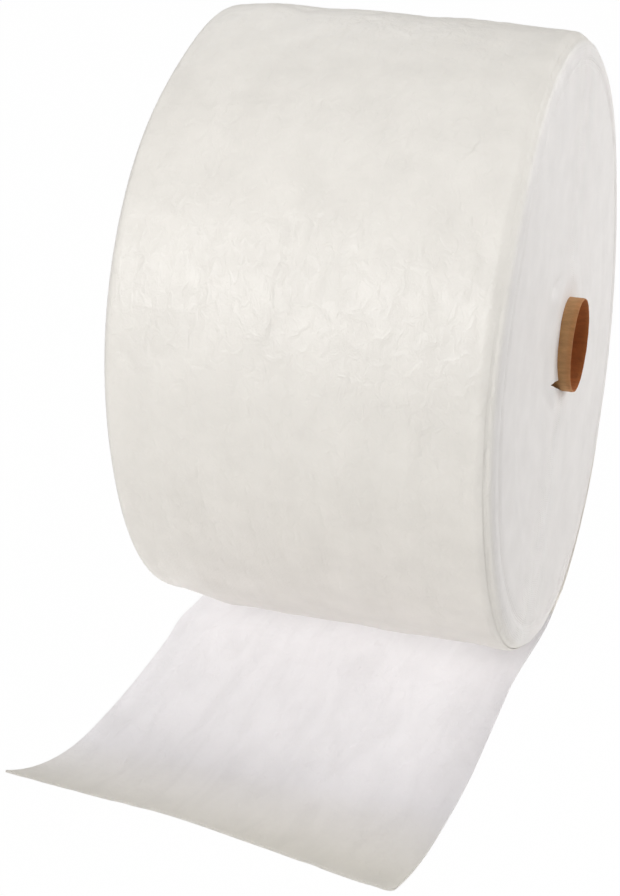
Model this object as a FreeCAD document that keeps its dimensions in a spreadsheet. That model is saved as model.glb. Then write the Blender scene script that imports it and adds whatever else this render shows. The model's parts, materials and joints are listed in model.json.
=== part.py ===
import FreeCAD, Part
import os

import Sketcher
from FreeCAD import Placement, Rotation, Vector
from math import cos, pi, radians, sin, sqrt

# A roll of thin foam packing wrap on a paper core, lying on its side with the free end of the web
# pulled out over the floor. Millimetres. +X runs along the core, the free end leaves towards -Y, +Z is
# up, and the origin is the point of the floor straight below the middle of the core.

# Driving dimensions: alias, value, meaning.
DIMENSIONS = [
    ("roll_radius", 262.0, "outer radius of the wound foam at the middle of its width"),
    ("roll_width", 309.0, "width over the wound turns, which wander a little on each other"),
    ("crown_drop", 6.5, "loss of radius from the middle of the width to the ends"),
    ("shoulder_radius", 11.7, "rounding of the soft outer turns at each end"),
    ("flat_depth", 3.0, "how far the roll settles into its own flat spot"),
    ("web_width", 305.0, "width of the foam web"),
    ("web_thickness", 1.6, "thickness of the foam web"),
    ("left_flat", 245.0, "run of the free end on the floor at its left edge"),
    ("left_curl_radius", 362.0, "radius of the curl at the left edge"),
    ("left_curl_angle", 36.6, "turn of the curl at the left edge, degrees"),
    ("right_flat", 245.0, "run of the free end on the floor at its right edge"),
    ("right_curl_radius", 553.0, "radius of the curl at the right edge"),
    ("right_curl_angle", 27.3, "turn of the curl at the right edge, degrees"),
    ("cut_reach", 449.5, "how far in front of the axis the bowed cut starts, where it is deepest"),
    ("cut_bow_offset", 50.0, "how far left of the middle it is deepest"),
    ("cut_bow_radius", 390.0, "radius of its bow, seen from above"),
    ("core_bore_radius", 38.1, "inner radius of the paper core"),
    ("core_wall", 1.5, "wall of the paper core"),
    ("core_stand_out", 12.0, "how far the core stands out of each end of the roll"),
    ("turn_count", 5.0, "turns of the relief that stands for the wound turns on each end"),
    ("turn_relief_depth", 1.6, "depth of that relief"),
    ("turn_relief_width", 5.0, "width of that relief at the end face"),
    ("inner_margin", 8.0, "foam between the core and the innermost turn of the relief"),
    ("start_gap_angle", 28.0, "where the folded start leaves the core, degrees from its lowest line"),
    ("start_gap_spread", 34.0, "how far round the core the gap behind that start reaches, degrees"),
    ("start_gap_length", 58.0, "length of that gap from the core to its tip"),
]

# Expressions on the sheet that several features share.
AXIS_HEIGHT = "(sizes.roll_radius - sizes.flat_depth)"
CORE_RADIUS = "(sizes.core_bore_radius + sizes.core_wall)"
FLAT_HALF_LENGTH = "sqrt(sizes.roll_radius^2 - %s^2)" % AXIS_HEIGHT

# Chords that make up the rounding of each shoulder.
SHOULDER_CHORDS = 3

doc = FreeCAD.newDocument("foam_wrap_roll")


def make_sheet():
    """The spreadsheet that holds every driving dimension under its alias."""
    sheet = doc.addObject("Spreadsheet::Sheet", "sizes")
    for row, (alias, value, meaning) in enumerate(DIMENSIONS, start=1):
        sheet.set("A%d" % row, str(value))
        sheet.set("B%d" % row, meaning)
        sheet.setAlias("A%d" % row, alias)
    doc.recompute()
    return sheet


sizes = make_sheet()


def size(alias):
    """A driving dimension, read back from the sheet."""
    return float(sizes.get(alias))


def new_body(label):
    body = doc.addObject("PartDesign::Body", label)
    body.Label = label
    return body


def new_sketch(body, name, role):
    """A sketch on one of the body's own planes."""
    sketch = body.newObject("Sketcher::SketchObject", name)
    plane = next(plane for plane in body.Origin.OriginFeatures if plane.Role == role)
    sketch.AttachmentSupport = [(plane, "")]
    sketch.MapMode = "FlatFace"
    return sketch


def line(start, end):
    return Part.LineSegment(Vector(*start, 0), Vector(*end, 0))


def arc(center, radius, start, end):
    """An arc that runs counter-clockwise between two angles, in radians."""
    circle = Part.Circle(Vector(*center, 0), Vector(0, 0, 1), radius)
    return Part.ArcOfCircle(circle, start, end)


def closed_polygon(points):
    """The straight edges of a closed outline, each starting where the one before it ends."""
    return [line(start, end) for start, end in zip(points, points[1:] + points[:1])]


def tie(sketch, kind, *references):
    """A constraint without a value, such as Tangent or Coincident."""
    sketch.addConstraint(Sketcher.Constraint(kind, *references))


def join_corners(sketch, edge_count):
    """Joins the edges of a closed outline end to start."""
    for edge in range(edge_count):
        tie(sketch, "Coincident", edge, END, (edge + 1) % edge_count, START)


def drive(sketch, kind, references, value, expression):
    """A constraint with a value, which then follows an expression on the sheet."""
    number = sketch.addConstraint(Sketcher.Constraint(kind, *references, value))
    sketch.setExpression("Constraints[%d]" % number, expression)


# Sketcher's numbers for the points of an edge, for the sketch's own axes and for its origin.
START, END, CENTER = 1, 2, 3
H_AXIS, V_AXIS = -1, -2
ORIGIN = (-1, 1)


# Foam: the wound turns and the free end of one web.

def rim_points():
    """Right half of the wound section's rim, each point as x and y with an expression for both.

    The shoulder is a quarter round and the crown a shallow parabola, both as a few chords.
    """
    half_width, radius = size("roll_width") / 2, size("roll_radius")
    shoulder, drop = size("shoulder_radius"), size("crown_drop")
    points = []
    for step in range(SHOULDER_CHORDS + 1):
        angle = 90 * step / SHOULDER_CHORDS
        inset, fall = 1 - cos(radians(angle)), 1 - sin(radians(angle))
        points.append((
            half_width - shoulder * inset, radius - drop - shoulder * fall,
            "sizes.roll_width / 2 - sizes.shoulder_radius * (1 - cos(%g deg))" % angle,
            "sizes.roll_radius - sizes.crown_drop - sizes.shoulder_radius * (1 - sin(%g deg))" % angle))
    points.append((
        half_width / 2, radius - drop / 4, "sizes.roll_width / 4", "sizes.roll_radius - sizes.crown_drop / 4"))
    points.append((0, radius, "0", "sizes.roll_radius"))
    return points


def sketch_wound_section(body):
    """Half the lengthwise section of the wound foam: bore, end faces, soft shoulders and crown."""
    half_width = size("roll_width") / 2
    core_radius = size("core_bore_radius") + size("core_wall")
    right = [(half_width, core_radius, "sizes.roll_width / 2", CORE_RADIUS)] + rim_points()
    left = [(-x, y, x_expression, y_expression) for x, y, x_expression, y_expression in right[-2::-1]]
    outline = right + left

    sketch = new_sketch(body, "wound_section", "XY_Plane")
    sketch.addGeometry(closed_polygon([point[:2] for point in outline]), False)
    join_corners(sketch, len(outline))
    for edge, (x, y, x_expression, y_expression) in enumerate(outline):
        drive(sketch, "DistanceY", (*ORIGIN, edge, START), y, y_expression)
        if x > 0:
            drive(sketch, "DistanceX", (*ORIGIN, edge, START), x, x_expression)
        elif x < 0:
            drive(sketch, "DistanceX", (edge, START, *ORIGIN), -x, x_expression)
        else:
            tie(sketch, "PointOnObject", edge, START, V_AXIS)
    return sketch


def wind_turns(body):
    """The wound turns, as the section turned about the core's axis."""
    section = sketch_wound_section(body)
    turns = body.newObject("PartDesign::Revolution", "wound_turns")
    turns.Profile = section
    turns.ReferenceAxis = (section, ["H_Axis"])
    turns.Angle = 360
    section.Visibility = False
    return turns


def press_flat_spot(body):
    """Takes off what lies below the floor, as the soft roll flattens where it rests."""
    axis_height = size("roll_radius") - size("flat_depth")
    half_width = size("roll_width") / 2
    low = -size("roll_radius") - size("flat_depth")
    sketch = new_sketch(body, "below_floor", "XZ_Plane")
    top = 0
    sketch.addGeometry(closed_polygon([
        (-half_width, -axis_height), (half_width, -axis_height), (half_width, low), (-half_width, low)]), False)
    join_corners(sketch, 4)
    for edge, kind in enumerate(("Horizontal", "Vertical", "Horizontal", "Vertical")):
        tie(sketch, kind, edge)
    drive(sketch, "DistanceX", (top, START, *ORIGIN), half_width, "sizes.roll_width / 2")
    drive(sketch, "DistanceX", (*ORIGIN, top, END), half_width, "sizes.roll_width / 2")
    drive(sketch, "DistanceY", (top, START, *ORIGIN), axis_height, AXIS_HEIGHT)
    drive(sketch, "DistanceY", (2, START, *ORIGIN), -low, "sizes.roll_radius + sizes.flat_depth")
    cut = body.newObject("PartDesign::Pocket", "flat_spot")
    cut.Profile = sketch
    cut.Type = "ThroughAll"
    cut.Midplane = True
    sketch.Visibility = False
    return cut


def sketch_free_end(body, side, plane_expression):
    """One edge of the free end, seen along the core: flat on the floor, then curling up."""
    flat, radius = size(side + "_flat"), size(side + "_curl_radius")
    turn = radians(size(side + "_curl_angle"))
    thickness = size("web_thickness")
    floor = size("flat_depth") - size("roll_radius")
    back = sqrt(size("roll_radius") ** 2 - floor ** 2)
    tip_angle = 1.5 * pi - turn
    center = (-flat, floor + radius)

    def on_curl(distance):
        return (center[0] + distance * cos(tip_angle), center[1] + distance * sin(tip_angle))

    sketch = new_sketch(body, side + "_edge_of_free_end", "YZ_Plane")
    sketch.setExpression("AttachmentOffset.Base.z", plane_expression)
    underside, lower_curl, cut_end, upper_curl, topside, back_end = range(6)
    sketch.addGeometry([
        line((back, floor), (-flat, floor)),
        arc(center, radius, tip_angle, 1.5 * pi),
        line(on_curl(radius), on_curl(radius - thickness)),
        arc(center, radius - thickness, tip_angle, 1.5 * pi),
        line((-flat, floor + thickness), (back, floor + thickness)),
        line((back, floor + thickness), (back, floor)),
    ], False)
    tie(sketch, "Tangent", underside, END, lower_curl, END)
    tie(sketch, "Coincident", lower_curl, START, cut_end, START)
    tie(sketch, "Coincident", cut_end, END, upper_curl, START)
    tie(sketch, "Tangent", upper_curl, END, topside, START)
    tie(sketch, "Coincident", topside, END, back_end, START)
    tie(sketch, "Coincident", back_end, END, underside, START)
    tie(sketch, "Coincident", lower_curl, CENTER, upper_curl, CENTER)
    tie(sketch, "Horizontal", underside)
    tie(sketch, "Horizontal", topside)
    tie(sketch, "Vertical", back_end)
    tie(sketch, "PointOnObject", lower_curl, CENTER, cut_end)
    drive(sketch, "DistanceY", (underside, START, *ORIGIN), -floor, AXIS_HEIGHT)
    drive(sketch, "DistanceX", (*ORIGIN, underside, START), back, FLAT_HALF_LENGTH)
    drive(sketch, "DistanceX", (lower_curl, CENTER, *ORIGIN), flat, "sizes.%s_flat" % side)
    drive(sketch, "Radius", (lower_curl,), radius, "sizes.%s_curl_radius" % side)
    drive(sketch, "DistanceY", (back_end, END, back_end, START), thickness, "sizes.web_thickness")
    drive(sketch, "Angle", (cut_end,), pi / 2 - turn, "90 deg - sizes.%s_curl_angle * 1 deg" % side)
    return sketch


def pull_out_free_end(body):
    """The free end of the web, from under the roll to its cut edge."""
    left = sketch_free_end(body, "left", "-sizes.roll_width / 2")
    right = sketch_free_end(body, "right", "sizes.web_width - sizes.roll_width / 2")
    web = body.newObject("PartDesign::AdditiveLoft", "free_end")
    web.Profile = left
    web.Sections = [right]
    web.Ruled = True
    for sketch in (left, right):
        sketch.Visibility = False
    return web


def bow_the_cut(body):
    """Takes the hollow of the hand-made cut out of the end of the web."""
    reach, offset, radius = size("cut_reach"), size("cut_bow_offset"), size("cut_bow_radius")
    sketch = new_sketch(body, "bow_of_cut", "XY_Plane")
    sketch.addGeometry(Part.Circle(Vector(-offset, -reach - radius, 0), Vector(0, 0, 1), radius), False)
    drive(sketch, "Radius", (0,), radius, "sizes.cut_bow_radius")
    drive(sketch, "DistanceX", (0, CENTER, *ORIGIN), offset, "sizes.cut_bow_offset")
    drive(sketch, "DistanceY", (0, CENTER, *ORIGIN), reach + radius, "sizes.cut_reach + sizes.cut_bow_radius")
    bow = body.newObject("PartDesign::Pocket", "bowed_cut")
    bow.Profile = sketch
    bow.Type = "ThroughAll"
    bow.Midplane = True
    sketch.Visibility = False
    return bow


def open_start_gap(body):
    """The sliver of air beside the core, where the folded start of the web leaves it along a tangent."""
    core_radius = size("core_bore_radius") + size("core_wall")
    length = size("start_gap_length")
    leave, meet = size("start_gap_angle"), size("start_gap_angle") + size("start_gap_spread")
    leave_expression = "(sizes.start_gap_angle * 1 deg)"
    meet_expression = "((sizes.start_gap_angle + sizes.start_gap_spread) * 1 deg)"

    def on_core(angle, expression):
        """How far a point of the core lies in front of its axis and below it."""
        return (core_radius * sin(radians(angle)), core_radius * cos(radians(angle)),
                "%s * sin%s" % (CORE_RADIUS, expression), "%s * cos%s" % (CORE_RADIUS, expression))

    front, below, front_expression, below_expression = on_core(leave, leave_expression)
    tip = (front + length * cos(radians(leave)), below - length * sin(radians(leave)),
           front_expression + " + sizes.start_gap_length * cos" + leave_expression,
           below_expression + " - sizes.start_gap_length * sin" + leave_expression)
    corners = [on_core(leave, leave_expression), tip, on_core(meet, meet_expression)]

    sketch = new_sketch(body, "start_gap_section", "YZ_Plane")
    sketch.addGeometry(closed_polygon([(-corner[0], -corner[1]) for corner in corners] + [(0, 0)]), False)
    join_corners(sketch, 4)
    for edge, (front, below, front_expression, below_expression) in enumerate(corners):
        drive(sketch, "DistanceX", (edge, START, *ORIGIN), front, front_expression)
        drive(sketch, "DistanceY", (edge, START, *ORIGIN), below, below_expression)
    tie(sketch, "Coincident", len(corners), START, *ORIGIN)
    gap = body.newObject("PartDesign::Pocket", "start_gap")
    gap.Profile = sketch
    gap.Type = "ThroughAll"
    gap.Midplane = True
    sketch.Visibility = False
    return gap


def make_turn_relief(side, sign):
    """A V groove along a spiral on one end face, for the edges of the turns, wound as the web is."""
    spiral = doc.addObject("Part::Spiral", side + "_turn_spiral")
    spiral.setExpression("Radius", CORE_RADIUS + " + sizes.inner_margin")
    spiral.setExpression("Rotations", "sizes.turn_count")
    spiral.setExpression("Growth", "(sizes.roll_radius - sizes.shoulder_radius - %s - sizes.inner_margin)"
                         " / sizes.turn_count" % CORE_RADIUS)
    # The web comes in from the floor up the back, so outwards the spiral turns down the back.
    spiral.Placement = Placement(Vector(), Rotation(Vector(0, 0, -1), Vector(0, -1, 0), Vector(-1, 0, 0)))
    spiral.setExpression("Placement.Base.x", "%d * sizes.roll_width / 2" % sign)
    spiral.setExpression("Placement.Base.z", AXIS_HEIGHT)

    # The groove's section stands in the plane of the core's axis, where the spiral starts.
    depth, width = size("turn_relief_depth"), size("turn_relief_width")
    section = doc.addObject("Sketcher::SketchObject", side + "_turn_section")
    section.Placement = Placement(Vector(), Rotation(Vector(1, 0, 0), 90))
    section.setExpression("Placement.Base.x", "%d * sizes.roll_width / 2" % sign)
    section.setExpression("Placement.Base.z", "%s - %s - sizes.inner_margin" % (AXIS_HEIGHT, CORE_RADIUS))
    bottom, outer, inner = (-sign * depth, 0), (sign * depth, -width), (sign * depth, width)
    section.addGeometry(closed_polygon([bottom, outer, inner]), False)
    join_corners(section, 3)
    across = (0, START, *ORIGIN) if sign > 0 else (*ORIGIN, 0, START)
    beyond = (*ORIGIN, 1, START) if sign > 0 else (1, START, *ORIGIN)
    tie(section, "Vertical", 1)
    drive(section, "DistanceX", across, depth, "sizes.turn_relief_depth")
    drive(section, "DistanceX", beyond, depth, "sizes.turn_relief_depth")
    drive(section, "DistanceY", (1, START, *ORIGIN), width, "sizes.turn_relief_width")
    drive(section, "DistanceY", (*ORIGIN, 2, START), width, "sizes.turn_relief_width")
    tie(section, "PointOnObject", 0, START, H_AXIS)
    doc.recompute()

    relief = doc.addObject("Part::Sweep", side + "_turn_relief")
    relief.Sections = [section]
    relief.Spine = (spiral, ["Edge%d" % (number + 1) for number in range(len(spiral.Shape.Edges))])
    relief.Solid = True
    relief.Frenet = True
    return relief


def make_foam_wrap():
    """The foam web as one solid: wound turns, flat spot, free end and the turns' edges at both ends."""
    body = new_body("foam_web")
    wind_turns(body)
    press_flat_spot(body)
    open_start_gap(body)
    pull_out_free_end(body)
    bow_the_cut(body)
    body.setExpression("Placement.Base.z", AXIS_HEIGHT)
    left_cut = doc.addObject("Part::Cut", "foam_web_with_left_turns")
    left_cut.Base = body
    left_cut.Tool = make_turn_relief("left", -1)
    foam = doc.addObject("Part::Cut", "foam_wrap")
    foam.Base = left_cut
    foam.Tool = make_turn_relief("right", 1)
    foam.Label = "foam_wrap"
    return foam


# Core: a spirally wound paper tube, cut square and gripped by the first turns.

def make_core_tube():
    body = new_body("core_tube")
    wall, bore = size("core_wall"), size("core_bore_radius")
    sketch = new_sketch(body, "core_section", "YZ_Plane")
    outside, inside = range(2)
    for radius in (bore + wall, bore):
        sketch.addGeometry(Part.Circle(Vector(), Vector(0, 0, 1), radius), False)
    for circle in (outside, inside):
        tie(sketch, "Coincident", circle, CENTER, *ORIGIN)
    drive(sketch, "Radius", (outside,), bore + wall, CORE_RADIUS)
    drive(sketch, "Radius", (inside,), bore, "sizes.core_bore_radius")
    tube = body.newObject("PartDesign::Pad", "core_wall")
    tube.Profile = sketch
    tube.Midplane = True
    tube.setExpression("Length", "sizes.roll_width + 2 * sizes.core_stand_out")
    sketch.Visibility = False
    body.setExpression("Placement.Base.z", AXIS_HEIGHT)
    return body


def check(parts):
    """Stops on any object that failed, and on any sub-part that isn't one valid solid."""
    for thing in doc.Objects:
        failed = [state for state in thing.State if state in ("Invalid", "Error")]
        if failed:
            raise RuntimeError("%s is %s" % (thing.Label, failed))
    for part in parts:
        shape = part.Shape
        if shape.isNull() or not shape.isValid() or len(shape.Solids) != 1:
            raise RuntimeError("%s is not one valid solid" % part.Label)


foam_wrap = make_foam_wrap()
core_tube = make_core_tube()
doc.recompute()
parts = [foam_wrap, core_tube]
check(parts)

os.makedirs("parts", exist_ok=True)
for part in parts:
    part.Shape.exportStep("parts/%s.step" % part.Label)
    print("%s: %.0f cubic mm" % (part.Label, part.Shape.Volume))
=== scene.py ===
import json
import math

import bpy
import numpy as np
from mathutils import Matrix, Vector, noise


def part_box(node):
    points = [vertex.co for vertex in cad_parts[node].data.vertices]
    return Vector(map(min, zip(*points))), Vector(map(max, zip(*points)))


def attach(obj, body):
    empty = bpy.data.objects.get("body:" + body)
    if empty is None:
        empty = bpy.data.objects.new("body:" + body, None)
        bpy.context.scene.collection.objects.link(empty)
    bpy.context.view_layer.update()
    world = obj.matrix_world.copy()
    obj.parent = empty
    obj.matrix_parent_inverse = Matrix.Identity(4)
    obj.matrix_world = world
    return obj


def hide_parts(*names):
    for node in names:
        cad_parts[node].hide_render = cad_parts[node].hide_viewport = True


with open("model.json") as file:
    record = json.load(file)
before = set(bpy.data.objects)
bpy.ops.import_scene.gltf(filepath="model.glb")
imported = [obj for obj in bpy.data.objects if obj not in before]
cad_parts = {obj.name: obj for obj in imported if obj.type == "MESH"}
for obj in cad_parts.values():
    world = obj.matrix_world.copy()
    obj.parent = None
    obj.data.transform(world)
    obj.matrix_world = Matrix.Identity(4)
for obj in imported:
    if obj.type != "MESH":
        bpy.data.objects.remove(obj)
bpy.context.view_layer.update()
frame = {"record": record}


# Foam web: one strip of expanded polyethylene foam, 1.6 mm thick and 305 mm wide, wound about 140 times
# on its core. The roll lies on the floor on its own flat spot, a little telescoped and rounded at its
# ends, and the free end runs out from under it and curls up at the cut.

MM = 0.001
foam_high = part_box("foam_wrap")[1]
core_low, core_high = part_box("core_tube")
core_mount = next(mount for mount in frame["record"]["mounts"] if mount["name"] == "core_bore")
axis_height = core_mount["pos_m"][2]
core_radius = (core_high.z - core_low.z) / 2
roll_radius = foam_high.z - axis_height
half_width = foam_high.x

WEB_THICKNESS = 1.6 * MM
WEB_WIDTH = 305 * MM
CROWN_DROP = 6.5 * MM
SHOULDER_RADIUS = 11.7 * MM
flat_half = half_width - SHOULDER_RADIUS


def step_between(low, high, value):
    """0 below low, 1 above high and smooth in between."""
    share = np.clip((value - low) / (high - low), 0, 1)
    return share * share * (3 - 2 * share)


def hill(distance, reach):
    """A round hill of height 1."""
    return np.exp(-(distance / reach) ** 2)


def waviness(first, second, first_size, second_size, seed):
    """Smooth random heights from about -1 to 1, with hills of the two given sizes."""
    first, second = np.broadcast_arrays(first, second)
    flat = [noise.noise(Vector((u / first_size, v / second_size, seed)))
            for u, v in zip(first.ravel(), second.ravel())]
    return np.array(flat).reshape(first.shape)


# The turns have slipped along the core: they lean and bow to the left, and the right end bulges at its
# upper front.
LEAN = -0.0172
BOW, BOW_MIDDLE, BOW_REACH = 2.6 * MM, 80 * MM, 130 * MM
BULGE, BULGE_ANGLE, BULGE_REACH = 3.5 * MM, 235, 32
BULGE_START, BULGE_FULL = 60 * MM, 150 * MM


def drift(x, y, z):
    """How far the telescoped roll is shifted along its core at a place."""
    up = z - axis_height
    out = step_between(BULGE_START, BULGE_FULL, x) * (y ** 2 + up ** 2) / roll_radius ** 2
    at_bulge = hill(np.degrees(np.arctan2(y, -up)) % 360 - BULGE_ANGLE, BULGE_REACH)
    return LEAN * up - BOW * hill(up - BOW_MIDDLE, BOW_REACH) + BULGE * out * at_bulge


# Dents and swellings towards the ends: height, angle and its reach in degrees, and the places along the
# core where they start and are full.
END_LUMPS = [
    (-12.0 * MM, 334, 15, -100 * MM, -152 * MM),
    (2.3 * MM, 298, 18, -100 * MM, -152 * MM),
    (-5.4 * MM, 199, 17, -122 * MM, -154 * MM),
    (-3.4 * MM, 147, 15, 100 * MM, 152 * MM),
]
# Those further in, the last of them one faint ring groove: height, angle and its reach in degrees, and
# their middle and reach along the core.
MIDDLE_LUMPS = [
    (2.9 * MM, 176, 28, -122 * MM, 32 * MM),
    (-2.0 * MM, 176, 28, 20 * MM, 75 * MM),
    (-0.6 * MM, 232, 28, -77 * MM, 4.5 * MM),
]
# Faint bands that run round the roll where the web was pulled tighter: height, length along the core for
# each radian of the wave, and phase in radians.
BANDS = [(0.28 * MM, 7.6 * MM, 0.7), (0.34 * MM, 13.1 * MM, 2.2)]


def lumps(x, angle):
    """How far the soft roll stands above a true round, from its own weight and from handling."""
    turn = np.degrees(angle)
    height = 0
    for rise, middle, reach, start, full in END_LUMPS:
        height = height + rise * hill(turn - middle, reach) * step_between(start, full, x)
    for rise, middle, reach, place, width in MIDDLE_LUMPS:
        height = height + rise * hill(turn - middle, reach) * hill(x - place, width)
    for rise, length, phase in BANDS:
        height = height + rise * np.cos(x / length + phase)
    return height


def settle(height, softness=1.2 * MM):
    """Foam pressed against a flat face at height 0, with a soft start to the contact."""
    lifting = (height + softness) ** 2 / (4 * softness)
    return np.where(height > softness, height, np.where(height < -softness, 0, lifting))


def section(across, angle, turn_radius):
    """Lengthwise section of the wound roll: place along the core and radius, at a distance from the middle.

    The ends are slacker than the middle, and most so at the top, where no floor holds them.
    """
    bend = np.clip((np.abs(across) - flat_half) / SHOULDER_RADIUS, 0, math.pi / 2)
    x = np.sign(across) * (np.minimum(np.abs(across), flat_half) + SHOULDER_RADIUS * np.sin(bend))
    crown = CROWN_DROP * (1 - np.cos(angle)) / 2 * (x / half_width) ** 2
    return x, turn_radius - crown - SHOULDER_RADIUS * (1 - np.cos(bend))


def place_on_roll(x, radius, angle, level):
    """Points of the roll at an angle from straight down towards the back, resting on a level."""
    radius = radius + lumps(x, angle)
    y = radius * np.sin(angle)
    z = level + settle(axis_height - radius * np.cos(angle) - level)
    return x + drift(x, y, z), y, z


# The free end: lengths from straight below the axis, at its left and right edges.
LEFT_FLAT, LEFT_CURL_RADIUS, LEFT_LENGTH = 245 * MM, 380 * MM, 483 * MM
RIGHT_FLAT, RIGHT_CURL_RADIUS, RIGHT_LENGTH = 245 * MM, 553 * MM, 509 * MM
# The cut curves in towards the roll, most at this share of the way across, and its right corner is round.
CUT_BOW, CUT_BOW_MIDDLE, CUT_BOW_REACH = 36 * MM, 0.42, 0.36
CORNER_RADIUS = 8 * MM
# Narrow wrinkles run along it, over broader waves.
WRINKLE_HEIGHT, WAVE_HEIGHT = 0.95 * MM, 1.0 * MM

# Its edges: where each runs, how far it is shifted at the roll and over which lengths that ends, and its
# shallow bays, each with a depth, a length from the axis and a reach.
LEFT_EDGE = (-152.2 * MM, 3.4 * MM, (50 * MM, 120 * MM),
             [(2.4 * MM, 118 * MM, 24 * MM), (2.6 * MM, 285 * MM, 55 * MM)])
RIGHT_EDGE = (149.5 * MM, 8.4 * MM, (15 * MM, 145 * MM), [(1.3 * MM, 350 * MM, 60 * MM)])

# Between these angles the outermost turn is laid on the roll's shoulders, where its edges are pressed thin.
LAID_START, LAID_FULL = math.radians(35), math.radians(105)
LAID_LEFT, LAID_RIGHT = -152.5 * MM, 146.5 * MM
PRESSED_DEPTH, PRESSED_WIDTH = 1.35 * MM, 5 * MM


def floor_edge(along, edge):
    """Where an edge of the web runs on the floor, at a length from straight below the axis."""
    line, shift, (start, end), bays = edge
    x = line + shift * (1 - step_between(start, end, along))
    for depth, place, reach in bays:
        x = x - depth * hill(along - place, reach)
    return x


def free_end(side, share):
    """The free end on the floor: side is 0 at its left edge and 1 at its right, share 1 at the cut.

    Gives its points, how far along the web they are, and how much thinner the web is pressed there.
    """
    flat = LEFT_FLAT + side * (RIGHT_FLAT - LEFT_FLAT)
    curl_radius = LEFT_CURL_RADIUS + side * (RIGHT_CURL_RADIUS - LEFT_CURL_RADIUS)
    length = LEFT_LENGTH + side * (RIGHT_LENGTH - LEFT_LENGTH)
    length = length - CUT_BOW * hill(side - CUT_BOW_MIDDLE, CUT_BOW_REACH)
    from_corner = np.clip(CORNER_RADIUS - (1 - side) * WEB_WIDTH, 0, CORNER_RADIUS)
    length = length - CORNER_RADIUS + np.sqrt(CORNER_RADIUS ** 2 - from_corner ** 2)
    along = share * length
    turn = np.clip(along - flat, 0, None) / curl_radius
    y = -np.minimum(along, flat) - curl_radius * np.sin(turn)
    z = curl_radius * (1 - np.cos(turn))
    left, right = floor_edge(along, LEFT_EDGE), floor_edge(along, RIGHT_EDGE)
    x = left + side * (right - left)
    wrinkles = np.clip(waviness(x, along, 16 * MM, 130 * MM, seed=3.1), 0, None)
    wrinkles = wrinkles * step_between(45 * MM, 120 * MM, along)
    waves = step_between(0.3, 1, share) * waviness(x, along, 60 * MM, 90 * MM, seed=8.4)
    z = z + WRINKLE_HEIGHT * wrinkles + WAVE_HEIGHT * waves
    return x, y, np.maximum(z, 0), -along, 0 * along


def outer_turn(side, angle):
    """The outermost turn, up the back and round to the front, as the same five values as free_end."""
    laid = step_between(LAID_START, LAID_FULL, angle)
    shift = drift(0, 0, 0)
    left, right = floor_edge(0, LEFT_EDGE) - shift, floor_edge(0, RIGHT_EDGE) - shift
    left = left + laid * (LAID_LEFT - left)
    right = right + laid * (LAID_RIGHT - right)
    wander = 0.7 * MM * laid * waviness(angle, 0 * angle, 0.5, 1, seed=5.5)
    across = left + side * (right - left) + wander
    turn_radius = roll_radius - WEB_THICKNESS * angle / (2 * math.pi)
    x, radius = section(across, angle, turn_radius)
    x = across + laid * (x - across)
    radius = turn_radius + laid * (radius - turn_radius)
    along = roll_radius * angle
    grain = 0.5 * MM * waviness(across, along, 9 * MM, 260 * MM, seed=1.7)
    grain = grain + 0.55 * MM * waviness(across, along, 45 * MM, 70 * MM, seed=6.2)
    from_edge = WEB_WIDTH * np.minimum(side, 1 - side)
    pressed = PRESSED_DEPTH * laid * (1 - step_between(0, PRESSED_WIDTH, from_edge))
    radius = radius - pressed + grain * step_between(math.radians(12), math.radians(40), angle)
    level = np.where(angle > math.pi, WEB_THICKNESS, 0)
    x, y, z = place_on_roll(x, radius, angle, level)
    return x, y, z, along, pressed


def spread(stops):
    """Values that run through stops, each given with the number of steps that lead to it."""
    values = [stops[0][0]]
    for value, steps in stops[1:]:
        values.extend(np.linspace(values[-1], value, steps + 1)[1:])
    return np.array(values)


def ring_faces(first, rows, columns, closed_rows=False):
    """Faces of a grid of points whose columns close on themselves."""
    faces = []
    for row in range(rows if closed_rows else rows - 1):
        here, there = first + row * columns, first + (row + 1) % rows * columns
        for column in range(columns):
            beside = (column + 1) % columns
            faces.append((here + column, here + beside, there + beside, there + column))
    return faces


def make_sheet():
    """The outermost turn and the free end, as a closed sheet of the web's thickness."""
    sides = spread([(0, 0), (0.05, 8), (0.95, 70), (1, 8)])[None, :]
    shares = spread([(1, 0), (0.93, 8), (0, 92)])[:-1, None]
    angles = spread([(0, 0), (2 * math.pi, 210)])[:, None]
    parts = [free_end(sides, shares), outer_turn(sides, angles)]
    under = np.concatenate([np.stack(part[:3], axis=-1) for part in parts])
    along, pressed = [np.concatenate([np.broadcast_to(part[kind], part[0].shape) for part in parts])
                      for kind in (3, 4)]
    inward = np.cross(np.gradient(under, axis=1), np.gradient(under, axis=0))
    inward /= np.linalg.norm(inward, axis=-1, keepdims=True)
    over = under + (WEB_THICKNESS - pressed)[..., None] * inward
    rows, columns = along.shape
    points = np.concatenate([under, over[:, ::-1]], axis=1).reshape(-1, 3)
    across = np.broadcast_to(-half_width + sides * WEB_WIDTH, along.shape)
    both = [np.concatenate([part, part[:, ::-1]], axis=1).ravel() for part in (across, along)]
    faces = ring_faces(0, rows, 2 * columns)
    for first, turned in ((0, False), ((rows - 1) * 2 * columns, True)):
        for column in range(columns - 1):
            face = [first + column, first + 2 * columns - 1 - column,
                    first + 2 * columns - 2 - column, first + column + 1]
            faces.append(tuple(face[::-1] if turned else face))
    return points, faces, np.stack(both + [np.zeros(len(points))], axis=-1)


# The start of the web leaves the core along a tangent, which keeps a sliver of air beside the core.
START_GAP_ANGLE, START_GAP_SPREAD, START_GAP_LENGTH = math.radians(28), math.radians(34), 58 * MM
PAST_GAP_ANGLE = math.radians(106)

# The first turns stand out of the end faces as a low hub, and the later ones wander in and out.
HUB_RADIUS, HUB_RISE = 73 * MM, 2.4 * MM
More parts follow.
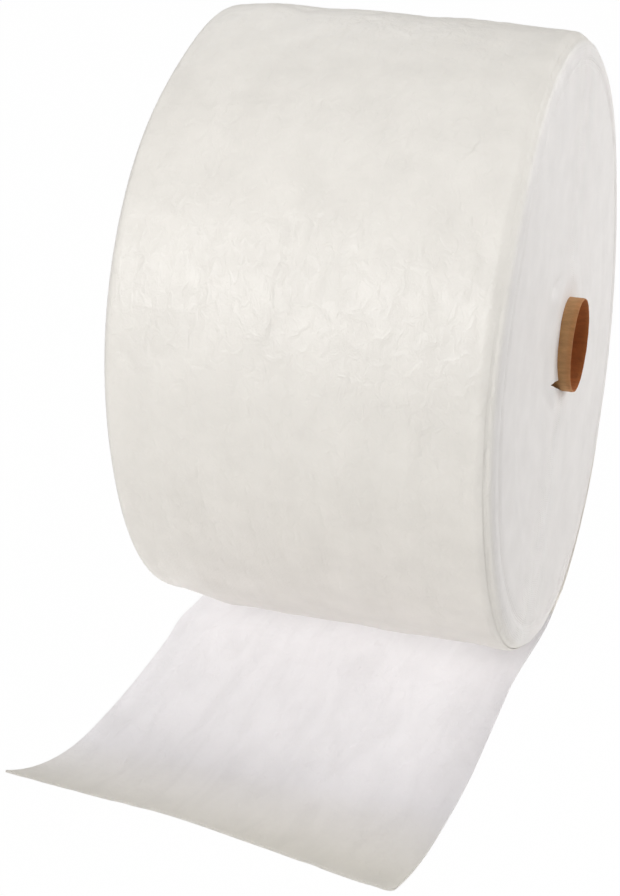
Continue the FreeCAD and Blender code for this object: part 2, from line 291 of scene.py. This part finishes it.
# Creases in the ends: depth, middle behind and above the axis, slope, and reach along and across.
END_CREASES = [(3.2 * MM, -40 * MM, 65 * MM, 0.1, 13 * MM, 4 * MM),
               (2.4 * MM, -62 * MM, -28 * MM, -0.8, 18 * MM, 10 * MM)]
# The turns below lie in a groove beside the right edge of the outermost one, with a little air under it.
EDGE_GROOVE, EDGE_GROOVE_PLACE, EDGE_GROOVE_REACH = 1.0 * MM, 148.9 * MM, 1.5 * MM
TURN_CLEARANCE = 0.12 * MM
# A fine lip at the rim of an end face, and a ring groove inside it: height, and middle and reach as shares
# of the way from the rim to the core.
LIP_RISE, LIP_MIDDLE, LIP_REACH = 0.5 * MM, 0.014, 0.012
RING_DEPTH, RING_MIDDLE, RING_REACH = 1.7 * MM, 0.040, 0.020


def bore_outline(angle):
    """The innermost turn, seen along the core, with the gap behind the web's folded start.

    The gap's tip stands in front of the turns above it, so the places there are reached from further round.
    """
    front = 2 * math.pi - angle
    leave, meet = START_GAP_ANGLE, START_GAP_ANGLE + START_GAP_SPREAD
    tip, past_tip = leave + math.atan(START_GAP_LENGTH / core_radius), PAST_GAP_ANGLE
    leave_at = np.array([-core_radius * math.sin(leave), -core_radius * math.cos(leave)])
    meet_at = np.array([-core_radius * math.sin(meet), -core_radius * math.cos(meet)])
    tip_at = leave_at + START_GAP_LENGTH * np.array([-math.cos(leave), math.sin(leave)])
    share_out = np.clip((front - leave) / (tip - leave), 0, 1)
    share_back = np.clip((front - tip) / (past_tip - tip), 0, 1)
    drawn_in = meet + (front - past_tip) * (math.pi - meet) / (math.pi - past_tip)
    on_core = np.where((front > past_tip) & (front <= math.pi), drawn_in, front)
    outline = []
    for axis, round_core in enumerate((-core_radius * np.sin(on_core), -core_radius * np.cos(on_core))):
        out = leave_at[axis] + share_out * (tip_at[axis] - leave_at[axis])
        back = tip_at[axis] + share_back * (meet_at[axis] - tip_at[axis])
        in_gap = np.where(front < tip, out, back)
        outline.append(np.where((front > leave) & (front < past_tip), in_gap, round_core))
    return outline[0], axis_height + outline[1]


def end_relief(y, z, end):
    """How far the turns' edges stand out of an end face, at a place from the axis: end is 1 at the right."""
    seed = 4.0 + end
    radius = np.hypot(y, z)
    relief = 0.55 * MM * waviness(radius, 0 * y, 9 * MM, 1, seed)
    relief = relief + 0.7 * MM * waviness(radius, 0 * y, 31 * MM, 1, seed)
    relief = relief + 0.9 * MM * waviness(y, z, 95 * MM, 95 * MM, seed + 3)
    relief = relief + 0.45 * MM * waviness(y, z, 28 * MM, 28 * MM, seed + 7)
    relief = relief + HUB_RISE * step_between(HUB_RADIUS + 14 * MM, HUB_RADIUS - 12 * MM, radius)
    for depth, back, up, slope, length, width in END_CREASES:
        relief = relief - depth * hill(y - back, length) * hill(z - up - slope * (y - back), width)
    return relief


def make_wound_turns():
    """Everything under the outermost turn, as one closed ring with the edges of its turns at both ends."""
    angle = np.linspace(0, 2 * math.pi, 240, endpoint=False)
    inset = WEB_THICKNESS * (1 + angle / (2 * math.pi)) + TURN_CLEARANCE
    level = WEB_THICKNESS + np.where(angle > math.pi, WEB_THICKNESS, 0) + TURN_CLEARANCE
    grooved = step_between(math.radians(60), math.radians(120), angle)
    quarter = SHOULDER_RADIUS * math.pi / 2
    shoulder = spread([(flat_half - 4 * MM, 0), (flat_half, 2), (flat_half + quarter, 14)])
    rings, pattern_places, edge_share = [], [], []

    def add_ring(x, y, z, edges, across):
        rings.append(np.stack(np.broadcast_arrays(x, y, z), axis=-1))
        pattern_places.append(np.stack([y + across, z, 0 * y], axis=-1))
        edge_share.append(np.full(len(angle), edges))

    def add_shoulder(across):
        x, radius = section(np.full(len(angle), across), angle, roll_radius - inset)
        groove = EDGE_GROOVE * hill(across - EDGE_GROOVE_PLACE, EDGE_GROOVE_REACH) * grooved
        x, y, z = place_on_roll(x, radius - groove, angle, level)
        add_ring(x, y, z, step_between(0.35, 0.75, (np.abs(across) - flat_half) / quarter), across)
        return y, z, radius

    def add_end_face(end, rim):
        rim_y, rim_z, rim_radius = rim
        bore_y, bore_z = bore_outline(angle)
        depth = float(np.mean(rim_radius)) - core_radius
        near_hub = 1 - (HUB_RADIUS - core_radius) / depth
        shares = spread([(0, 0), (0.06, 12), (near_hub - 0.05, 34), (near_hub + 0.05, 14), (1, 8)])[1:]
        for share in shares if end > 0 else shares[::-1]:
            y = rim_y + share * (bore_y - rim_y)
            z = rim_z + share * (bore_z - rim_z)
            shown = step_between(0, 0.03, share)
            relief = end_relief(y, z - axis_height, end)
            relief = relief + LIP_RISE * hill(share - LIP_MIDDLE, LIP_REACH)
            relief = relief - RING_DEPTH * hill(share - RING_MIDDLE, RING_REACH)
            x = end * (half_width + shown * relief)
            add_ring(x + drift(x, y, z), y, z, 1.0, end * (flat_half + quarter))

    left = [add_shoulder(-across) for across in shoulder[::-1]]
    for across in spread([(-flat_half + 8 * MM, 0), (flat_half - 8 * MM, 8)]):
        add_shoulder(across)
    right = [add_shoulder(across) for across in shoulder]
    add_end_face(1, right[-1])
    bore_y, bore_z = bore_outline(angle)
    for x in np.linspace(half_width - 6 * MM, -half_width + 6 * MM, 8):
        add_ring(x, bore_y, bore_z, 1.0, x)
    add_end_face(-1, left[0])
    points = np.concatenate(rings)
    faces = ring_faces(0, len(rings), len(angle), closed_rows=True)
    return points, faces, np.concatenate(pattern_places), np.concatenate(edge_share)


SHARP_ANGLE = math.radians(50)


def make_mesh(name, points, faces):
    """A smooth piece whose edges stay sharp where its faces turn by more than SHARP_ANGLE."""
    mesh = bpy.data.meshes.new(name)
    mesh.from_pydata([tuple(point) for point in points], [], faces)
    mesh.polygons.foreach_set("use_smooth", [True] * len(mesh.polygons))
    mesh.set_sharp_from_angle(angle=SHARP_ANGLE)
    piece = bpy.data.objects.new(name, mesh)
    bpy.context.scene.collection.objects.link(piece)
    return piece


def keep_values(piece, name, kind, values):
    """Stores a value for each point of a mesh, for its material to read."""
    attribute = piece.data.attributes.new(name, kind, "POINT")
    key = "vector" if kind == "FLOAT_VECTOR" else "value"
    attribute.data.foreach_set(key, np.asarray(values, np.float32).ravel())


sheet_points, sheet_faces, sheet_web = make_sheet()
turn_points, turn_faces, turn_web, turn_edges = make_wound_turns()
turn_faces = [tuple(len(sheet_points) + corner for corner in face) for face in turn_faces]
foam_web = make_mesh("foam_web", np.concatenate([sheet_points, turn_points]), sheet_faces + turn_faces)
keep_values(foam_web, "web", "FLOAT_VECTOR", np.concatenate([sheet_web, turn_web]))
keep_values(foam_web, "turn_edges", "FLOAT", np.concatenate([np.zeros(len(sheet_points)), turn_edges]))


def linear(hex_colour):
    """An sRGB hex colour as the linear values that shaders take."""
    channels = [int(hex_colour[place:place + 2], 16) / 255 for place in (1, 3, 5)]
    return [c / 12.92 if c <= 0.04045 else ((c + 0.055) / 1.055) ** 2.4 for c in channels] + [1]


def add_node(tree, kind, inputs=None, **settings):
    """Adds a shader node with its settings, each input given as a value or as the socket it is linked to."""
    made = tree.nodes.new("ShaderNode" + kind)
    for name, value in settings.items():
        setattr(made, name, value)
    for name, value in (inputs or {}).items():
        if isinstance(value, bpy.types.NodeSocket):
            tree.links.new(value, made.inputs[name])
        else:
            made.inputs[name].default_value = value
    return made


def new_material(name):
    """A material whose nodes are still to be added."""
    material = bpy.data.materials.new(name)
    material.use_nodes = True
    material.node_tree.nodes.clear()
    return material


def expanded_polyethylene():
    """Extruded polyethylene foam web: a satin, slightly crinkled skin over small closed cells.

    The skin gives soft broken highlights, the cells a fine pebble, and the winding long faint streaks.
    The free end is a single layer, and the light of the table comes through it.
    """
    material = new_material("expanded_polyethylene_foam")
    tree = material.node_tree
    web = add_node(tree, "Attribute", attribute_name="web").outputs["Vector"]
    edges = add_node(tree, "Attribute", attribute_name="turn_edges").outputs["Fac"]
    place = add_node(tree, "TexCoord").outputs["Object"]

    # Real cells are about 1 mm across, too fine to show here, so they are drawn at 1.8 mm.
    cell_size, crinkle_size, crease_size = 1.8 * MM, 9 * MM, 30 * MM
    streak_width, fold_width, cloud_size = 11 * MM, 16 * MM, 30 * MM
    cells = add_node(tree, "TexVoronoi", {"Vector": web, "Scale": 1 / cell_size},
                     voronoi_dimensions="2D", feature="SMOOTH_F1").outputs["Distance"]
    stretched = add_node(tree, "VectorMath", {0: web, 1: (1, 0.7, 1)}, operation="MULTIPLY").outputs[0]
    crinkle = add_node(tree, "TexNoise", {"Vector": stretched, "Scale": 1 / crinkle_size, "Detail": 3,
                                          "Distortion": 0.6}, noise_dimensions="2D").outputs[0]
    creases = add_node(tree, "TexNoise", {"Vector": stretched, "Scale": 1 / crease_size, "Detail": 2,
                                          "Distortion": 0.5}, noise_dimensions="2D",
                       noise_type="RIDGED_MULTIFRACTAL", normalize=False).outputs[0]
    drawn_out = add_node(tree, "VectorMath", {0: web, 1: (1, 0.06, 1)}, operation="MULTIPLY").outputs[0]
    streaks = add_node(tree, "TexNoise", {"Vector": drawn_out, "Scale": 1 / streak_width, "Detail": 2},
                       noise_dimensions="2D").outputs[0]
    clouds = add_node(tree, "TexNoise", {"Vector": place, "Scale": 1 / cloud_size, "Detail": 3}).outputs[0]

    # Edges of the turns, as a spiral of the web's own thickness on the end faces. The noise moves them by
    # up to this many radians of that spiral.
    wander, wander_size = 14.0, 45 * MM
    split = add_node(tree, "SeparateXYZ", {"Vector": place})
    up = add_node(tree, "Math", {0: split.outputs["Z"], 1: axis_height}, operation="SUBTRACT").outputs[0]
    back = split.outputs["Y"]
    flat_place = add_node(tree, "CombineXYZ", {"X": back, "Y": up}).outputs[0]
    radius = add_node(tree, "VectorMath", {0: flat_place}, operation="LENGTH").outputs["Value"]
    down = add_node(tree, "Math", {0: up, 1: -1}, operation="MULTIPLY").outputs[0]
    turn = add_node(tree, "Math", {0: back, 1: down}, operation="ARCTAN2").outputs[0]
    uneven = add_node(tree, "TexNoise", {"Vector": place, "Scale": 1 / wander_size, "Detail": 2}).outputs[0]
    wound = add_node(tree, "Math", {0: radius, 1: 2 * math.pi / WEB_THICKNESS},
                     operation="MULTIPLY").outputs[0]
    wound = add_node(tree, "Math", {0: wound, 1: turn}, operation="ADD").outputs[0]
    wound = add_node(tree, "Math", {0: uneven, 1: wander, 2: wound}, operation="MULTIPLY_ADD").outputs[0]
    lines = add_node(tree, "Math", {0: wound}, operation="SINE").outputs[0]
    lines = add_node(tree, "Math", {0: lines, 1: edges}, operation="MULTIPLY").outputs[0]

    # The edges of the turns have less relief than the skin, and low on its front the outermost turn is
    # drawn smoother over the roll.
    turn_length = 2 * math.pi * roll_radius
    streaky = add_node(tree, "MapRange", {"Value": edges, "To Min": 0.6, "To Max": 0}).outputs[0]
    crinkled = add_node(tree, "MapRange", {"Value": edges, "To Min": 0.58, "To Max": 0.2}).outputs[0]
    along = add_node(tree, "SeparateXYZ", {"Vector": web}).outputs["Y"]
    smoothed = add_node(tree, "MapRange", {"Value": along, "From Min": 0.72 * turn_length,
                                           "From Max": 0.9 * turn_length, "To Min": 1,
                                           "To Max": 0.3}).outputs[0]
    crinkled = add_node(tree, "Math", {0: crinkled, 1: smoothed}, operation="MULTIPLY").outputs[0]

    # Each relief lies on the one before it: its pattern, its depth and how strongly it shows.
    normal = {}
    for height, depth, strength in ((streaks, 0.9 * MM, streaky), (creases, 2.8 * MM, crinkled),
                                    (crinkle, 1.7 * MM, crinkled), (cells, 0.25 * MM, 0.35),
                                    (lines, 0.22 * MM, 0.5)):
        bump = add_node(tree, "Bump", {"Height": height, "Distance": depth, "Strength": strength, **normal})
        normal = {"Normal": bump.outputs[0]}

    # The skin is a warm white, a little clouded, and cooler on the cut edges of the turns.
    mottle = add_node(tree, "MapRange", {"Value": clouds, "From Min": 0.3, "From Max": 0.7}).outputs[0]
    skin_colour = add_node(tree, "Mix", {"Factor": mottle, "A": linear("#EFEBE4"), "B": linear("#F5F1EA")},
                           data_type="RGBA").outputs["Result"]
    edge_colour = add_node(tree, "Mix", {"Factor": mottle, "A": linear("#EFEBE8"), "B": linear("#F5F1EE")},
                           data_type="RGBA").outputs["Result"]
    colour = add_node(tree, "Mix", {"Factor": edges, "A": skin_colour, "B": edge_colour},
                      data_type="RGBA").outputs["Result"]
    gloss = add_node(tree, "MapRange", {"Value": crinkle, "From Min": 0.3, "From Max": 0.7,
                                        "To Min": 0.4, "To Max": 0.54}).outputs[0]
    skin = add_node(tree, "BsdfPrincipled", {"Base Color": colour, "Roughness": gloss, "IOR": 1.5, **normal})

    # What comes through the single layer is darker at its long folds; towards the cut it is warmer and
    # darker, painted shade for the curl lifting off the table.
    single = add_node(tree, "MapRange", {"Value": along, "From Min": -12 * MM, "From Max": 0,
                                         "To Min": 0.85, "To Max": 0}).outputs[0]
    drawn_out = add_node(tree, "VectorMath", {0: web, 1: (1, 0.16, 1)}, operation="MULTIPLY").outputs[0]
    folds = add_node(tree, "TexNoise", {"Vector": drawn_out, "Scale": 1 / fold_width, "Detail": 3,
                                        "Distortion": 0.8}, noise_dimensions="2D").outputs[0]
    dense = add_node(tree, "MapRange", {"Value": folds, "From Min": 0.3, "From Max": 0.6,
                                        "To Min": 0.97, "To Max": 1}).outputs[0]
    # Painted shade: towards the cut the light let through turns darker and warmer.
    painted_shade_near_cut = add_node(tree, "MapRange", {"Value": along, "From Min": -470 * MM, "From Max": -330 * MM,
                                           "To Min": 1, "To Max": 0}).outputs[0]
    light_colour = add_node(tree, "Mix", {"Factor": painted_shade_near_cut, "A": linear("#F2F1F3"),
                                          "B": linear("#F0EEEA")}, data_type="RGBA").outputs["Result"]
    light_colour = add_node(tree, "VectorMath", {0: light_colour, "Scale": dense},
                            operation="SCALE").outputs[0]
    let_through = add_node(tree, "BsdfTranslucent", {"Color": light_colour, **normal})
    foam = add_node(tree, "MixShader", {0: single, 1: skin.outputs[0], 2: let_through.outputs[0]})
    add_node(tree, "OutputMaterial", {"Surface": foam.outputs[0]})
    return material


foam_web.data.materials.append(expanded_polyethylene())
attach(foam_web, "root")
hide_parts("foam_wrap")


# Core: a paperboard tube, wound from strips of kraft board in a spiral and glued, then sawn square.
# The first turns of foam grip it, and it stands out of the roll at both ends.

bore_radius = core_mount["dims"]["r_mm"] * MM
PLY_WIDTH = 92 * MM
SEAM_STEP, SEAM_REACH = 0.22 * MM, 0.03
RIM_WEAR, RIM_WEAR_REACH = 0.18 * MM, 3 * MM
RIM_ROUNDING = 0.35 * MM
# Over this length at each end the rings of the mesh lie closer.
FINE_LENGTH = 20 * MM

# How red the board is, from its face at 0 to its inner ply at 1: in the bore, on the sawn rims and on the
# worn outside beside them.
ON_BORE, ON_RIM, BESIDE_RIM = 1.0, 0.4, 0.35


def make_tube():
    """The tube with the shallow step of its spiral seam, inside and out, and a slightly furred rim."""
    angle = np.linspace(0, 2 * math.pi, 144, endpoint=False)
    rim_wear = RIM_WEAR * waviness(np.sin(angle), np.cos(angle), 0.13, 0.13, seed=2.5)
    outside = spread([(core_low.x, 0), (core_low.x + FINE_LENGTH, 12), (core_high.x - FINE_LENGTH, 60),
                      (core_high.x, 12)])
    rings, inner = [], []

    def add_ring(x, radius, bore):
        seam = (x / PLY_WIDTH - angle / (2 * math.pi)) % 1.0
        step = SEAM_STEP * (hill(seam, SEAM_REACH) + hill(seam - 1, SEAM_REACH))
        worn = x + rim_wear * np.sign(x) * (abs(x) > core_high.x - RIM_WEAR_REACH)
        shaped = radius + (step if bore > 0.5 else -step)
        y, z = shaped * np.sin(angle), axis_height - shaped * np.cos(angle)
        rings.append(np.stack([worn + 0 * angle, y, z], axis=-1))
        inner.append(np.full(len(angle), bore))

    for x in outside:
        at_rim = abs(x) > core_high.x - RIM_ROUNDING
        rubbed = BESIDE_RIM * step_between(6 * MM, 1 * MM, core_high.x - abs(x))
        add_ring(x, core_radius - RIM_ROUNDING * at_rim, rubbed)
    add_ring(core_high.x, (core_radius + bore_radius) / 2, ON_RIM)
    for x in outside[::-1]:
        at_rim = abs(x) > core_high.x - RIM_ROUNDING
        add_ring(x, bore_radius + RIM_ROUNDING * at_rim, ON_BORE)
    add_ring(core_low.x, (core_radius + bore_radius) / 2, ON_RIM)
    faces = ring_faces(0, len(rings), len(angle), closed_rows=True)
    return np.concatenate(rings), faces, np.concatenate(inner)


def kraft_board():
    """Spiral-wound kraft paperboard: brown, matt and fibrous, with faint stains and a redder ply inside."""
    material = new_material("kraft_paperboard")
    tree = material.node_tree
    place = add_node(tree, "TexCoord").outputs["Object"]
    inside = add_node(tree, "Attribute", attribute_name="bore").outputs["Fac"]
    fibre_length, stain_size = 4 * MM, 35 * MM
    drawn_out = add_node(tree, "VectorMath", {0: place, 1: (0.35, 1, 1)}, operation="MULTIPLY").outputs[0]
    fibres = add_node(tree, "TexNoise", {"Vector": drawn_out, "Scale": 1 / fibre_length, "Detail": 5,
                                         "Roughness": 0.7}).outputs[0]
    stains = add_node(tree, "TexNoise", {"Vector": place, "Scale": 1 / stain_size, "Detail": 2}).outputs[0]
    face = add_node(tree, "Mix", {"Factor": stains, "A": linear("#B88D5C"), "B": linear("#C59264")},
                    data_type="RGBA").outputs["Result"]
    lining = add_node(tree, "Mix", {"Factor": stains, "A": linear("#B56C38"), "B": linear("#C67A42")},
                      data_type="RGBA").outputs["Result"]
    board = add_node(tree, "Mix", {"Factor": inside, "A": face, "B": lining},
                     data_type="RGBA").outputs["Result"]
    flecks = add_node(tree, "MapRange", {"Value": fibres, "From Min": 0.35, "From Max": 0.65,
                                         "To Min": 0.82, "To Max": 1.08}).outputs[0]
    colour = add_node(tree, "VectorMath", {0: board, "Scale": flecks}, operation="SCALE").outputs[0]
    bump = add_node(tree, "Bump", {"Height": fibres, "Distance": 0.2 * MM, "Strength": 0.5})
    shader = add_node(tree, "BsdfPrincipled", {"Base Color": colour, "Roughness": 0.85, "IOR": 1.45,
                                               "Normal": bump.outputs[0]})
    add_node(tree, "OutputMaterial", {"Surface": shader.outputs[0]})
    return material


tube_points, tube_faces, tube_bore = make_tube()
core_board = make_mesh("core_board_tube", tube_points, tube_faces)
keep_values(core_board, "bore", "FLOAT", tube_bore)
core_board.data.materials.append(kraft_board())
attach(core_board, "root")
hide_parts("core_tube")


# Studio: a white light table, with soft boxes on all sides of the roll and one over it. The camera looks
# down on the roll from the front, a little to its right.

FLOOR_HALF = 8.0
FLOOR_DROP = 0.2 * MM
TABLE_LIGHT, WORLD_LIGHT = 0.74, 0.12
# To the camera the table is all but pure white, with a trace of the roll's shadow.
SEEN_WHITE = 0.992
# Where the lamps of the table stand: along each axis the middle of their light, and the distances from it
# where the light starts to fade and is gone.
TRAY_LIGHT = (("X", -35 * MM, 115 * MM, 270 * MM), ("Y", -110 * MM, 0, 510 * MM))


def white_light_table():
    """White acrylic over a tray of lamps: it glows softly under the free end and hardly shows the shadow."""
    material = new_material("white_light_table")
    tree = material.node_tree
    place = add_node(tree, "SeparateXYZ", {"Vector": add_node(tree, "TexCoord").outputs["Object"]})
    glow = TABLE_LIGHT
    for axis, middle, bright, dark in TRAY_LIGHT:
        offset = add_node(tree, "Math", {0: place.outputs[axis], 1: middle}, operation="SUBTRACT").outputs[0]
        distance = add_node(tree, "Math", {0: offset}, operation="ABSOLUTE").outputs[0]
        fade = add_node(tree, "MapRange", {"Value": distance, "From Min": bright, "From Max": dark,
                                           "To Min": 1, "To Max": 0},
                        interpolation_type="SMOOTHSTEP").outputs[0]
        glow = add_node(tree, "Math", {0: fade, 1: glow}, operation="MULTIPLY").outputs[0]
    acrylic = add_node(tree, "BsdfDiffuse", {"Color": linear("#E6E6E6")})
    tray = add_node(tree, "Emission", {"Color": (0.99, 1, 0.985, 1), "Strength": glow})
    lit = add_node(tree, "AddShader", {0: acrylic.outputs[0], 1: tray.outputs[0]})
    white = add_node(tree, "Emission", {"Color": (1, 1, 1, 1), "Strength": 1.0})
    seen = add_node(tree, "MixShader", {0: SEEN_WHITE, 1: acrylic.outputs[0], 2: white.outputs[0]})
    rays = add_node(tree, "LightPath")
    both = add_node(tree, "MixShader", {0: rays.outputs["Is Camera Ray"], 1: lit.outputs[0],
                                        2: seen.outputs[0]})
    add_node(tree, "OutputMaterial", {"Surface": both.outputs[0]})
    return material


floor = make_mesh("floor", [(-FLOOR_HALF, -FLOOR_HALF, 0), (FLOOR_HALF, -FLOOR_HALF, 0),
                            (FLOOR_HALF, FLOOR_HALF, 0), (-FLOOR_HALF, FLOOR_HALF, 0)], [(0, 1, 2, 3)])
floor.location.z = -FLOOR_DROP
floor.data.materials.append(white_light_table())

world = bpy.data.worlds.new("studio")
bpy.context.scene.world = world
world.use_nodes = True
world.node_tree.nodes.clear()
rays = add_node(world.node_tree, "LightPath")
dim = add_node(world.node_tree, "Background", {"Color": (1, 1, 1, 1), "Strength": WORLD_LIGHT})
white = add_node(world.node_tree, "Background", {"Color": (1, 1, 1, 1), "Strength": 1.0})
shown = add_node(world.node_tree, "MixShader", {0: rays.outputs["Is Camera Ray"], 1: dim.outputs[0],
                                                2: white.outputs[0]})
add_node(world.node_tree, "OutputWorld", {"Surface": shown.outputs[0]})

roll_centre = Vector((0, 0, axis_height))


def soft_box(name, azimuth, elevation, distance, size, power):
    """A square soft box that faces the roll: azimuth 0 stands in front of it and 90 at its right end."""
    around, above = math.radians(azimuth), math.radians(elevation)
    towards = Vector((math.sin(around) * math.cos(above), -math.cos(around) * math.cos(above),
                      math.sin(above)))
    light = bpy.data.lights.new(name, "AREA")
    light.size = size
    light.energy = power
    lamp = bpy.data.objects.new(name, light)
    lamp.location = roll_centre + towards * distance
    lamp.rotation_euler = towards.to_track_quat("Z", "Y").to_euler()
    bpy.context.scene.collection.objects.link(lamp)


soft_box("front_box", azimuth=-18, elevation=28, distance=3.0, size=1.2, power=45)
soft_box("right_box", azimuth=82, elevation=25, distance=3.0, size=1.6, power=19)
soft_box("back_right_box", azimuth=130, elevation=20, distance=2.0, size=1.1, power=16.5)
soft_box("top_box", azimuth=0, elevation=89, distance=3.0, size=2.0, power=22)
soft_box("back_left_box", azimuth=-150, elevation=30, distance=3.0, size=1.6, power=11)
soft_box("left_box", azimuth=-90, elevation=25, distance=3.0, size=1.6, power=7)

# The camera, with its angles in degrees from level, upright and square to the roll's front.
CAMERA_PLACE = (0.4243, -1.4990, 0.8916)
CAMERA_DOWN, CAMERA_TILT, CAMERA_LEFT = 25.81, 0.09, 18.26
LENS, SENSOR_WIDTH = 78.23, 36

camera_data = bpy.data.cameras.new("camera")
camera_data.sensor_width = SENSOR_WIDTH
camera_data.lens = LENS
camera = bpy.data.objects.new("camera", camera_data)
camera.location = CAMERA_PLACE
camera.rotation_euler = (math.radians(90 - CAMERA_DOWN), math.radians(CAMERA_TILT), math.radians(CAMERA_LEFT))
bpy.context.scene.collection.objects.link(camera)
bpy.context.scene.camera = camera
bpy.context.scene.view_settings.view_transform = "Standard"
